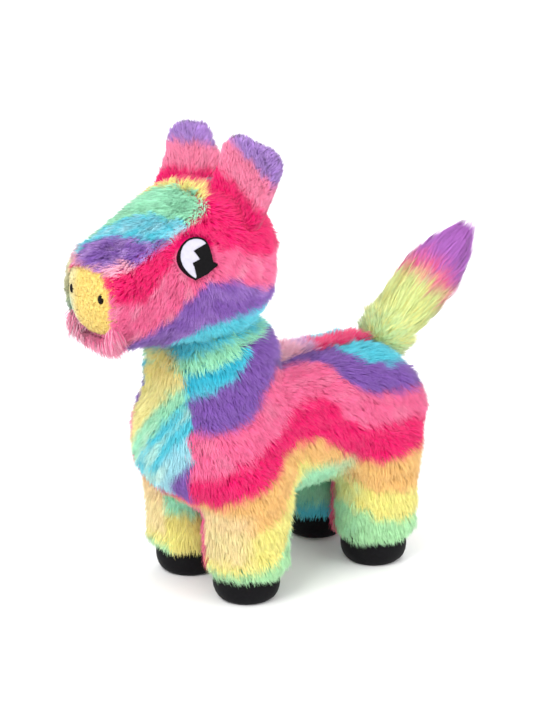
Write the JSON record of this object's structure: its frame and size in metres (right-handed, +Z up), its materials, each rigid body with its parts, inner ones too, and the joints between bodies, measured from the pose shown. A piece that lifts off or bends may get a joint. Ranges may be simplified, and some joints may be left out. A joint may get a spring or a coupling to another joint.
{
  "type": "pinata donkey plush toy",
  "caption": "Free-standing stuffed toy donkey in rainbow-banded pile fabric, with pinata-style colour bands, upright ears, a brush tail, a nodding head and black velour hooves.",
  "frame": {"origin": "on the ground, in the middle of the footprint of the whole toy", "axes": "+Z up, +X to the toy's own left side, +Y from its muzzle to its tail, so it faces -Y"},
  "size_m": [0.11, 0.308, 0.2927],
  "materials": {
    "banded_pile": "matte",
    "long_pile": "matte",
    "muzzle_plush": "matte",
    "hoof_velour": "matte",
    "eye_thread_white": "satin",
    "eye_thread_black": "satin",
    "stuffing": "matte"
  },
  "bodies": {
    "torso": {"torso_side_left": "banded_pile", "torso_side_right": "banded_pile", "chest_gusset": "banded_pile", "belly_gusset": "banded_pile", "spine_fringe": "long_pile", "torso_stuffing": "stuffing"},
    "neck": {"neck_cover": "banded_pile", "neck_stuffing": "stuffing"},
    "head": {"cheek_panel_left": "banded_pile", "cheek_panel_right": "banded_pile", "forehead_gusset": "banded_pile", "muzzle_panel": "muzzle_plush", "jaw_gusset": "banded_pile", "chin_fringe": "long_pile", "mane_strip": "long_pile", "head_stuffing": "stuffing", "eye_white_left": "eye_thread_white", "eye_white_right": "eye_thread_white", "eye_pupil_left": "eye_thread_black", "eye_pupil_right": "eye_thread_black", "nostril_left": "eye_thread_black", "nostril_right": "eye_thread_black"},
    "ear_left": {"ear_front_left": "banded_pile", "ear_back_left": "banded_pile"},
    "ear_right": {"ear_front_right": "banded_pile", "ear_back_right": "banded_pile"},
    "tail_root": {"tail_gather": "long_pile"},
    "tail": {"tail_sleeve": "long_pile", "tail_stuffing": "stuffing"},
    "leg_front_left": {"leg_outer_front_left": "banded_pile", "leg_inner_front_left": "banded_pile", "hoof_side_front_left": "hoof_velour", "hoof_sole_front_left": "hoof_velour", "leg_stuffing_front_left": "stuffing"},
    "leg_front_right": {"leg_outer_front_right": "banded_pile", "leg_inner_front_right": "banded_pile", "hoof_side_front_right": "hoof_velour", "hoof_sole_front_right": "hoof_velour", "leg_stuffing_front_right": "stuffing"},
    "leg_rear_left": {"leg_outer_rear_left": "banded_pile", "leg_inner_rear_left": "banded_pile", "hoof_side_rear_left": "hoof_velour", "hoof_sole_rear_left": "hoof_velour", "leg_stuffing_rear_left": "stuffing"},
    "leg_rear_right": {"leg_outer_rear_right": "banded_pile", "leg_inner_rear_right": "banded_pile", "hoof_side_rear_right": "hoof_velour", "hoof_sole_rear_right": "hoof_velour", "leg_stuffing_rear_right": "stuffing"}
  },
  "joints": [
    {"name": "head_turn", "type": "hinge", "parent": "torso", "child": "neck", "pos_m": [0, -0.0548, 0.14], "axis": [0, 0, 1], "range_deg": [-20, 20], "stiffness_Nm_per_rad": 1.6},
    {"name": "head_nod", "type": "hinge", "parent": "neck", "child": "head", "pos_m": [0, -0.0548, 0.172], "axis": [1, 0, 0], "range_deg": [-10, 12], "stiffness_Nm_per_rad": 2.4},
    {"name": "ear_fold_left", "type": "hinge", "parent": "head", "child": "ear_left", "pos_m": [0.028, -0.0488, 0.258], "axis": [0.9319, 0.2805, -0.2301], "range_deg": [-40, 50], "stiffness_Nm_per_rad": 0.03},
    {"name": "ear_fold_right", "type": "hinge", "parent": "head", "child": "ear_right", "pos_m": [-0.028, -0.0488, 0.258], "axis": [0.9766, 0.2103, 0.0448], "range_deg": [-40, 50], "stiffness_Nm_per_rad": 0.03},
    {"name": "tail_wag", "type": "hinge", "parent": "torso", "child": "tail_root", "pos_m": [0, 0.0934, 0.138], "axis": [0, 0, 1], "range_deg": [-40, 40], "stiffness_Nm_per_rad": 0.06},
    {"name": "tail_lift", "type": "hinge", "parent": "tail_root", "child": "tail", "pos_m": [0, 0.0934, 0.138], "axis": [1, 0, 0], "range_deg": [-30, 30], "stiffness_Nm_per_rad": 0.06},
    {"name": "leg_swing_front_left", "type": "hinge", "parent": "torso", "child": "leg_front_left", "pos_m": [0.03, -0.0448, 0.058], "axis": [1, 0, 0], "range_deg": [-18, 18], "stiffness_Nm_per_rad": 1.2},
    {"name": "leg_swing_front_right", "type": "hinge", "parent": "torso", "child": "leg_front_right", "pos_m": [-0.03, -0.0448, 0.058], "axis": [1, 0, 0], "range_deg": [-18, 18], "stiffness_Nm_per_rad": 1.2},
    {"name": "leg_swing_rear_left", "type": "hinge", "parent": "torso", "child": "leg_rear_left", "pos_m": [0.03, 0.0592, 0.058], "axis": [1, 0, 0], "range_deg": [-18, 18], "stiffness_Nm_per_rad": 1.2},
    {"name": "leg_swing_rear_right", "type": "hinge", "parent": "torso", "child": "leg_rear_right", "pos_m": [-0.03, 0.0592, 0.058], "axis": [1, 0, 0], "range_deg": [-18, 18], "stiffness_Nm_per_rad": 1.2}
  ]
}
